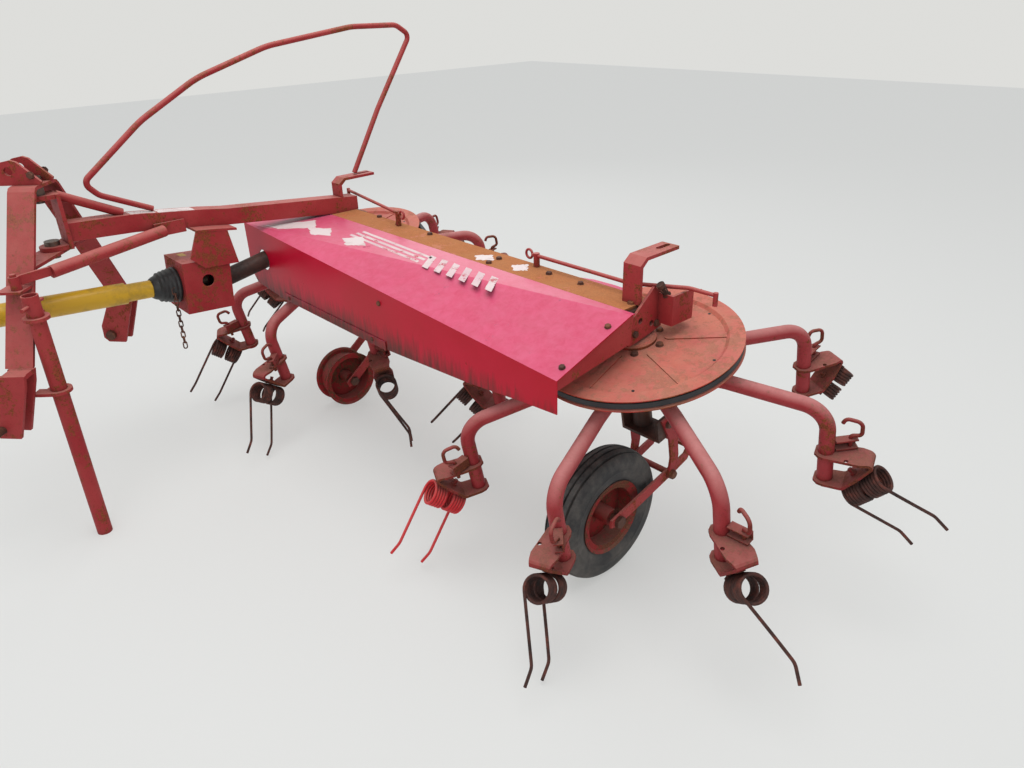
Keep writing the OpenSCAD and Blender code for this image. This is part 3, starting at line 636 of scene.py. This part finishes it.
def half_tine(hand, whole):
    """Coil and leg on one side of the clip in the coil's frame; hand is 1 for the outer side."""
    steps = int(STEPS_A_TURN * COIL_TURNS)
    path = []
    for i in range(steps + 1):
        around = (LEG_TURN - 90 - 360 * COIL_TURNS * (1 - i / steps)) * DEG
        across = COIL_START + (COIL_END - COIL_START) * i / steps
        path.append(Vector((CLIP_X + hand * across, COIL_R * math.sin(around), -COIL_R * math.cos(around))))
    bent, worn = chance.uniform(-MOST_BEND, MOST_BEND), chance.uniform(LEAST_WEAR, MOST_WEAR)
    if not whole:
        return path[:-BROKEN_STEPS]
    pieces = []
    for i in range(STRAIGHT_STEPS):
        pieces.append((STRAIGHT / STRAIGHT_STEPS, LEG_TURN + bent * i / STRAIGHT_STEPS))
    for i in range(KINK_STEPS):
        pieces.append((KINK_LENGTH / KINK_STEPS, LEG_TURN + bent - KINK * (i + 0.5) / KINK_STEPS))
    pieces.append((TIP_LENGTH - worn, LEG_TURN + bent - KINK))
    for length, slant in pieces:
        path.append(path[-1] + length * Vector((0, math.sin(slant * DEG), -math.cos(slant * DEG))))
    return path


def whole_tine(side, index, inner=True, outer=True):
    """The wire from the inner tip through both coils to the outer tip, in metres in the scene."""
    to_world = coil_frame(side, index)
    path = half_tine(-1, inner)[::-1] + half_tine(1, outer)
    return [to_world @ q for q in path]


print("steps in a coil:", int(STEPS_A_TURN * COIL_TURNS))

# %% [markdown]
# All tines of a rotor move together, so they are one piece, which stands for the plain
# sleeves of the solid model. The new red tine is a piece of its own, for its finish.

# %% spring tines
NEW_ARM = 5
LOST_LEGS = {1: (False, False), 7: (False, True)}  # arm: whether its inner and outer legs are there


def hand_over(piece, body, replaced=None):
    """Tells the frame which body a piece moves with and the solid it stands for."""
    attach(piece, body)
    if replaced:
        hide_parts(replaced)
    return piece


old_arms = [k for k in range(ARM_COUNT) if k != NEW_ARM]
near_lines = [whole_tine(1, k, *LOST_LEGS.get(k, (True, True))) for k in old_arms]
tines_near = wires("tines_near_wire", near_lines, WIRE_R, spring_rust)
hand_over(tines_near, "rotor_near", "tines_near")
tine_new = wires("tine_new_wire", [whole_tine(1, NEW_ARM)], WIRE_R, new_red)
hand_over(tine_new, "rotor_near", "tine_new")
tines_far = wires("tines_far_wire", [whole_tine(-1, k) for k in range(ARM_COUNT)], WIRE_R, spring_rust)
hand_over(tines_far, "rotor_far", "tines_far")
grown_tines = (tines_near, tine_new, tines_far)
print("tine triangles:", sum(len(q.data.loops) - 2 * len(q.data.polygons) for q in grown_tines))

# %% [markdown]
# The chain that keeps the shaft's guard from turning is also wire, bent into closed
# links. Every second link stands across the one above it.

# %% guard chain
LINK_WIRE_R, LINK_R, LINK_COUNT = 0.0024, 0.0065, 11
CHAIN_X, CHAIN_Y, CHAIN_TOP = -0.7135, -0.759, 0.690
LINK_PITCH, LINK_DRIFT = 0.0208, 0.0005  # down and forward from one link to the next


def link_line(place, across):
    """A closed oval of wire, long side upright."""
    half_turns = [(1, a) for a in range(0, 181, 20)] + [(-1, a) for a in range(180, 361, 20)]
    oval = [(LINK_R * math.cos(a * DEG), LINK_R * math.sin(a * DEG) + LINK_R * up) for up, a in half_turns]
    line = [Vector((0, u, v)) if across else Vector((-u, 0, v)) for u, v in oval]
    return [machine_frame @ (Vector(place) + q) for q in line]


links = []
for i in range(LINK_COUNT):
    links.append(link_line((CHAIN_X, CHAIN_Y - LINK_DRIFT * i, CHAIN_TOP - LINK_PITCH * i), i % 2 == 0))
chain = wires("guard_chain_links", links, LINK_WIRE_R, pin_rust, 8, closed=True)
hand_over(chain, "frame", "guard_chain")
print("chain links:", len(links))

# %% [markdown]
# The tyre is a small ribbed implement tyre. Its section is turned about the axle: bead,
# side wall with a moulded line, shoulder, and a tread of ribs with grooves between them.

# %% ribbed tyre
AXLE = (0.800, -0.160, 0.210)
TURNED_ANGLE = 32


def plain_mesh(name, mesh, material=None):
    """A bmesh written out as one of Blender's own meshes."""
    plain = bpy.data.meshes.new(name)
    mesh.to_mesh(plain)
    mesh.free()
    if material:
        plain.materials.append(material)
    return plain


def turned(name, section, place, sides, material):
    """A closed section of points (along the axle, radius) turned about the x axis of a place."""
    mesh = bmesh.new()
    rings = []
    for i in range(sides):
        a = 2 * math.pi * i / sides
        rings.append([mesh.verts.new((x, r * math.cos(a), r * math.sin(a))) for x, r in section])
    for ring, following in zip(rings, rings[1:] + rings[:1]):
        for i in range(len(section)):
            j = (i + 1) % len(section)
            mesh.faces.new((ring[i], ring[j], following[j], following[i]))
    mesh.transform(place)
    piece = new_object(name, plain_mesh(name, mesh, material))
    smooth(piece, TURNED_ANGLE)
    return piece


# half a section from bead to middle, as (distance from the middle, radius)
wall = [(0.0335, 0.0984), (0.0355, 0.112), (0.041, 0.120), (0.0455, 0.130), (0.0485, 0.141),
        (0.0500, 0.152), (0.0512, 0.154), (0.0512, 0.157), (0.0500, 0.159), (0.0498, 0.173),
        (0.0482, 0.183), (0.0452, 0.1915), (0.0415, 0.1975), (0.0375, 0.2015)]
ribs = [(0.0345, 0.2030), (0.0330, 0.1975), (0.0285, 0.1975), (0.0270, 0.2062), (0.0135, 0.2088),
        (0.0122, 0.2025), (0.0078, 0.2025), (0.0065, 0.2097), (0.0, 0.2099)]
half_section = wall + ribs
section = half_section + [(-x, r) for x, r in half_section[-2::-1]]
tyre = turned("tyre_ribbed", section, machine_frame @ move(*AXLE), 96, tyre_rubber)
hand_over(tyre, "wheel_near", "tyre_near")
print("tyre triangles:", 2 * len(tyre.data.polygons))

# %% [markdown]
# A black rubber boot covers the cone where the shaft's guard meets the guard box. Its
# folds are one zigzag section, turned about the drive's axis.

# %% rubber boot
# (along the shaft, radius), out along the folds and back along the inner side
folds = [(0.0068, 0.0630), (0.014, 0.0648), (0.020, 0.0612), (0.028, 0.0622), (0.034, 0.0585),
         (0.042, 0.0592), (0.048, 0.0552), (0.056, 0.0560), (0.062, 0.0515), (0.070, 0.0520),
         (0.076, 0.0440), (0.088, 0.0400), (0.096, 0.0345), (0.0965, 0.0312), (0.0688, 0.0424),
         (0.0068, 0.0604)]
boot = turned("rubber_boot", folds, drive_frame @ turn("Z", -90), 48, black_guard)
hand_over(boot, "frame")
print("boot triangles:", 2 * len(boot.data.polygons))

# %% [markdown]
# Stickers on the hood's flat top, on the drawbar and on the guard box. They are blank:
# half torn vinyl patches with ragged edges, each a thin plate that lies on the sheet.

# %% blank stickers
TOP = 0.832
VINYL, LIFT = 0.0003, 0.0001
STEPS_A_SIDE = 9


def ragged(corners, depth, seed):
    """Corners with more points between them, each pushed a little towards the middle."""
    noise = random.Random(seed)
    middle = sum((Vector(q) for q in corners), Vector((0, 0))) / len(corners)
    outline = []
    for start, end in zip(corners, corners[1:] + corners[:1]):
        for i in range(STEPS_A_SIDE):
            q = Vector(start).lerp(Vector(end), i / STEPS_A_SIDE)
            outline.append(q + (middle - q).normalized() * noise.uniform(0, depth))
    return outline


def stacked(mesh, rings):
    """Closes a solid from rings of points that lie one above the other."""
    loops = [[mesh.verts.new(q) for q in ring] for ring in rings]
    for low, high in zip(loops, loops[1:]):
        for i in range(len(low)):
            j = (i + 1) % len(low)
            mesh.faces.new((low[i], low[j], high[j], high[i]))
    mesh.faces.new(loops[-1])
    mesh.faces.new(loops[0][::-1])


def flat_plates(name, outlines, thickness, material, place):
    """Thin plates from outlines in the x and y of a place, a tenth of a millimetre above it."""
    mesh = bmesh.new()
    for outline in outlines:
        stacked(mesh, [[(x, y, z) for x, y in outline] for z in (0.0, thickness)])
    bmesh.ops.recalc_face_normals(mesh, faces=mesh.faces)
    mesh.transform(place @ move(0, 0, LIFT))
    return new_object(name, plain_mesh(name, mesh, material))


def oblong(length, width):
    return [(0, 0), (width, 0), (width, length), (0, length)]


def joined(name, pieces):
    """One object out of several; each keeps its material."""
    target = bmesh.new()
    mesh = bpy.data.meshes.new(name)
    slots = []
    for piece in pieces:
        start = len(target.faces)
        for material in piece.data.materials:
            if material not in slots:
                slots.append(material)
        target.from_mesh(piece.data)
        target.faces.ensure_lookup_table()
        for face in target.faces[start:]:
            face.material_index = slots.index(piece.data.materials[face.material_index])
        bpy.data.objects.remove(piece)
    target.to_mesh(mesh)
    target.free()
    for material in slots:
        mesh.materials.append(material)
    return new_object(name, mesh)


patches = [[(-0.790, -0.353), (-0.706, -0.165), (-0.600, -0.225), (-0.700, -0.342)],
           [(-0.630, -0.250), (-0.556, -0.187), (-0.459, -0.245), (-0.533, -0.294)],
           [(-0.411, -0.236), (-0.370, -0.164), (-0.256, -0.229), (-0.320, -0.278)],
           [(0.103, -0.040), (0.151, 0.012), (0.205, -0.030), (0.155, -0.072)],
           [(0.275, -0.025), (0.310, 0.021), (0.361, -0.027), (0.322, -0.064)]]
hood_top = machine_frame @ move(0, 0, TOP)
beam_top = machine_frame @ move(-0.800, -0.832, 0.976) @ turn("X", -6.52)
box_side = drive_frame @ move(-0.062, 0.030, 0.093)
torn = [ragged(q, 0.010, i + 3) for i, q in enumerate(patches)]
long_strip, short_strip = ragged(oblong(0.130, 0.058), 0.004, 21), ragged(oblong(0.090, 0.050), 0.006, 22)
stickers = [
    flat_plates("patches", torn, VINYL, sticker_vinyl, hood_top),
    flat_plates("beam strip", [long_strip], VINYL, sticker_vinyl, beam_top @ move(0.003, 0.090, 0)),
    flat_plates("beam strip", [short_strip], VINYL, sticker_vinyl, beam_top @ move(0.006, -0.002, 0)),
    flat_plates("box label", [oblong(0.024, 0.040)], VINYL, yellow_guard, box_side),
]
hand_over(joined("blank_stickers", stickers), "frame")
print("stickers on the hood:", len(patches))

# %% [markdown]
# The stripes on the hood are plain: a row of slanted bars and three long thin lines in
# chipped white paint, each a plate as thin as a few coats.

# %% plain stripes
COATS = 0.0002
BAR_COUNT, BAR_START, BAR_STEP, BAR_WIDTH, BAR_LEAN = 6, 0.075, 0.062, 0.034, 0.075
LINE_PLACES = (-0.205, -0.178, -0.151)
bars = []
for i in range(BAR_COUNT):
    x = BAR_START + BAR_STEP * i
    bars.append([(x, -0.232), (x + BAR_WIDTH, -0.235),
                 (x + BAR_WIDTH - BAR_LEAN, -0.140), (x - BAR_LEAN, -0.137)])
for y in LINE_PLACES:
    bars.append([(-0.420, y + 0.010), (0.030, y - 0.012), (0.022, y + 0.003), (-0.428, y + 0.025)])
chipped = [ragged(q, 0.001, 40 + i) for i, q in enumerate(bars)]
stripes = flat_plates("plain_stripes", chipped, COATS, stripe_paint, hood_top)
hand_over(stripes, "frame")
print("bars and lines:", len(bars))

# %% [markdown]
# A stop screw stands on the hood's near end: a short screw with a compression spring
# under its cap, set at a slant in the clamp block. The spring is a helix of thin wire;
# shank, cap and collar are short pieces of thick wire.

# %% spring screw
SPRING_R, SPRING_STEP, SPRING_RISE, SPRING_POINTS = 0.0085, 20, 0.00030, 96
screw_frame = move(0.832, 0.052 + SHIFT_Y, 0.852) @ turn("Y", -14) @ turn("X", 32)
helix = []
for i in range(SPRING_POINTS):
    a = i * SPRING_STEP * DEG
    point = Vector((SPRING_R * math.cos(a), SPRING_R * math.sin(a), 0.002 + SPRING_RISE * i))
    helix.append(screw_frame @ point)
screw_parts = [wires("screw spring", [helix], 0.0014, pin_rust, 6)]
# name, heights along the screw, radius, sides
for name, heights, radius, sides in (("screw shank", (-0.030, 0.0, 0.034), 0.0048, 12),
                                     ("screw cap", (0.031, 0.036, 0.041), 0.0120, 20),
                                     ("screw collar", (-0.002, 0.0, 0.001), 0.0125, 20)):
    upright = [screw_frame @ Vector((0, 0, z)) for z in heights]
    screw_parts.append(wires(name, [upright], radius, pin_rust, sides))
hand_over(joined("spring_screw", screw_parts), "frame")
print("spring screw set")

# %% [markdown]
# Bolts hold the sheets and castings. One bolt is modelled: a hexagon with its corners
# turned off, standing on a washer. Geometry Nodes sets a copy on every point of a small
# cloud; each point carries the direction the head looks, its size and its turn.

# %% one bolt
WASHER_SIDES, HEAD_SIDES = 24, 6
WASHER = ((0.0105, 0.0), (0.0105, 0.0014), (0.0098, 0.0018))  # radius, height
HEAD = ((0.0098, 0.0085, 0.0016), (0.0098, 0.0085, 0.0066),
        (0.0076, 0.0076, 0.0080))  # radius at a corner, radius at a flat, height


def ring_points(radii, height):
    step = 2 * math.pi / len(radii)
    return [(r * math.cos(step * i), r * math.sin(step * i), height) for i, r in enumerate(radii)]


def bolt_mesh():
    """An M10 head with washer, looking along z, in metres."""
    mesh = bmesh.new()
    stacked(mesh, [ring_points([r] * WASHER_SIDES, height) for r, height in WASHER])
    stacked(mesh, [ring_points([corner, flat] * HEAD_SIDES, height) for corner, flat, height in HEAD])
    bmesh.ops.recalc_face_normals(mesh, faces=mesh.faces)
    return plain_mesh("bolt", mesh)


bolt_model = new_object("bolt model", bolt_mesh())
print("bolt faces:", len(bolt_model.data.polygons))

# %% [markdown]
# The bolt tree reads the three values of each point by name. Their names are the same in
# the function that writes them, and they are removed from the finished mesh.

# %% the bolt tree
bolt_tree, given, result = geometry_tree("bolts on points", [
    ("Bolt", "NodeSocketObject"), ("Material", "NodeSocketMaterial")])
POINT_VALUES = {"aim": "FLOAT_VECTOR", "size": "FLOAT", "spin": "FLOAT"}
read = {}
for label, kind in POINT_VALUES.items():
    reader = add(bolt_tree, "GeometryNodeInputNamedAttribute", {"Name": label}, data_type=kind)
    read[label] = reader.outputs["Attribute"]
about_z = add(bolt_tree, "ShaderNodeCombineXYZ", {"Z": read["spin"]})
aimed = add(bolt_tree, "FunctionNodeAlignEulerToVector",
            {"Rotation": about_z.outputs[0], "Vector": read["aim"]}, axis="Z")
model = add(bolt_tree, "GeometryNodeObjectInfo", {"Object": given["Bolt"]})
copies = add(bolt_tree, "GeometryNodeInstanceOnPoints", {
    "Points": given["Geometry"], "Instance": model.outputs["Geometry"],
    "Rotation": aimed.outputs[0], "Scale": read["size"]})
real = add(bolt_tree, "GeometryNodeRealizeInstances", {"Geometry": copies.outputs["Instances"]})
coated = add(bolt_tree, "GeometryNodeSetMaterial",
             {"Geometry": real.outputs["Geometry"], "Material": given["Material"]})
bolt_tree.links.new(coated.outputs["Geometry"], result["Geometry"])
print("bolt tree ready")

# %% [markdown]
# Bolts are listed in rows, in the frame of the piece that they hold. A head's turn is
# whatever the spanner left, here an even step from one bolt to the next.

# %% bolts on the frame
BOLT_ANGLE = 25
SPIN_STEP = 0.37
UP, FORWARD = (0, 0, 1), (0, -1, 0)


def bolts(name, rows, material):
    """rows: a frame, a place in it, the direction the head looks in that frame, and a size; 1 is M10."""
    mesh = bpy.data.meshes.new(name)
    mesh.from_pydata([tuple(base @ Vector(place)) for base, place, _, _ in rows], [], [])
    # all are made before any is filled, because a new attribute moves the ones before it in memory
    for label, kind in POINT_VALUES.items():
        mesh.attributes.new(label, kind, "POINT")
    aims, sizes, spins = (mesh.attributes[label].data for label in POINT_VALUES)
    for i, (base, _, look, scale) in enumerate(rows):
        aims[i].vector = (base.to_3x3() @ Vector(look)).normalized()
        sizes[i].value = scale
        spins[i].value = (i * SPIN_STEP) % 1.0
    piece = grown(name, mesh, bolt_tree, {"Bolt": bolt_model, "Material": material})
    for label in POINT_VALUES:
        if label in piece.data.attributes:
            piece.data.attributes.remove(piece.data.attributes[label])
    smooth(piece, BOLT_ANGLE)
    return piece


# along the strip on the cross member
strip_places = [(-0.556, 0.028), (-0.413, 0.017), (-0.204, 0.012), (0.208, -0.061),
                (0.200, -0.010), (0.428, -0.006), (0.561, -0.006), (0.773, -0.029)]
frame_rows = [(machine_frame, (x, y, TOP), UP, 1.0) for x, y in strip_places]
# on the hood's front face and lower panel
front_places = ((0.033, 0.735), (-0.029, 0.593), (-0.60, 0.590))
frame_rows += [(machine_frame, (x, -0.380, z), FORWARD, 0.8) for x, z in front_places]
# on the slanted facet at the near end
FACET_UP = (0.053, -0.318, 0.946)
facet_places = ((0.806, -0.162, 0.8114), (0.808, -0.338, 0.7521))
frame_rows += [(machine_frame, place, FACET_UP, 0.9) for place in facet_places]
# on both sides of the straps that carry the wheel forks: y, z and size
for wheel_x in (0.800, -0.740):
    for hand in (-1, 1):
        for y, z, scale in ((0.076, 0.271, 1.5), (0.038, 0.462, 1.2)):
            frame_rows.append((machine_frame, (wheel_x + hand * 0.0784, y, z), (hand, 0, 0), scale))
# at the headstock's top and on the side plate
frame_rows += [(head_frame, (hand * 0.039, 0.105, 1.150), (hand, 0, 0), 1.1) for hand in (-1, 1)]
frame_rows += [(machine_frame, (0.8104, y, z), (1, 0, 0), 1.0) for y, z in ((-0.052, 0.757), (0.040, 0.765))]
hand_over(bolts("frame_bolts", frame_rows, pin_rust), "frame")
print("bolts on the frame:", len(frame_rows))

# %% [markdown]
# Each rotor disc is bolted to its hub by six bolts, and six small drain holes lie further
# out. The holes are not cut: each is painted shade, a dark disc of wire a hair above the sheet.

# %% bolts, and painted shade for the drain holes on the rotors
HUB_R, HUB_Z, DRAIN_R, DRAIN_SIZE = 0.080, -0.0025, 0.246, 0.0045
DRAIN_DEPTHS = (-0.0090, -0.0078, -0.0073)
spokes = [(60 * i + 8) * DEG for i in range(6)]
for side, name in ((1, "near"), (-1, "far")):
    base = rotor_frame(side)
    rows = [(base, (HUB_R * math.cos(a), HUB_R * math.sin(a), HUB_Z), UP, 1.1) for a in spokes]
    drains = []
    for a in spokes:
        x, y = DRAIN_R * math.cos(a), DRAIN_R * math.sin(a)
        drains.append([base @ Vector((x, y, z)) for z in DRAIN_DEPTHS])
    # painted shade: a black disc stands for each drain hole, which is not cut in the disc
    drain_hole_shade = wires("drain_marks_" + name, drains, DRAIN_SIZE, black_guard, 12)
    hand_over(drain_hole_shade, "rotor_" + name)
    hand_over(bolts("rotor_bolts_" + name, rows, pin_rust), "rotor_" + name)
bpy.data.objects.remove(bolt_model)
print("bolts set")
